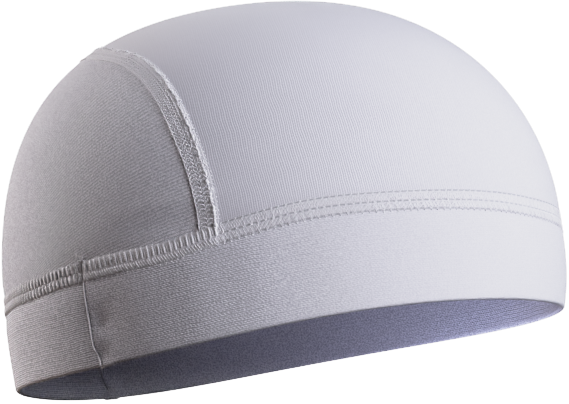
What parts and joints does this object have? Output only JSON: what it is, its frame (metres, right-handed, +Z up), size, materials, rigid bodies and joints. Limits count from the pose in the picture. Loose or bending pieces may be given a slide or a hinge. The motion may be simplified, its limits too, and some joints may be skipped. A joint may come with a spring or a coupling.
{
  "type": "helmet liner cap",
  "caption": "Close-fitting stretch-knit cap worn under a helmet, with a domed crown, an arched seam over the back and a smooth folded band round the rim.",
  "frame": {"origin": "the spot inside the crown that rests on the top of the head", "axes": "+Z up, at right angles to the rim; the front of the cap faces -Y and the wearer's right side faces -X"},
  "size_m": [0.161, 0.1998, 0.1236],
  "materials": {
    "crown_knit": "fine white stretch knit, single layer, matte with a soft sheen",
    "band_knit": "fine white stretch knit, folded double, matte",
    "seam_thread": "white looped seam thread, matte"
  },
  "bodies": {
    "root": {"crown_front": "crown_knit", "crown_back": "crown_knit", "arch_seam": "seam_thread", "band_seam": "seam_thread", "band_front": "band_knit", "band_back": "band_knit"}
  },
  "joints": []
}
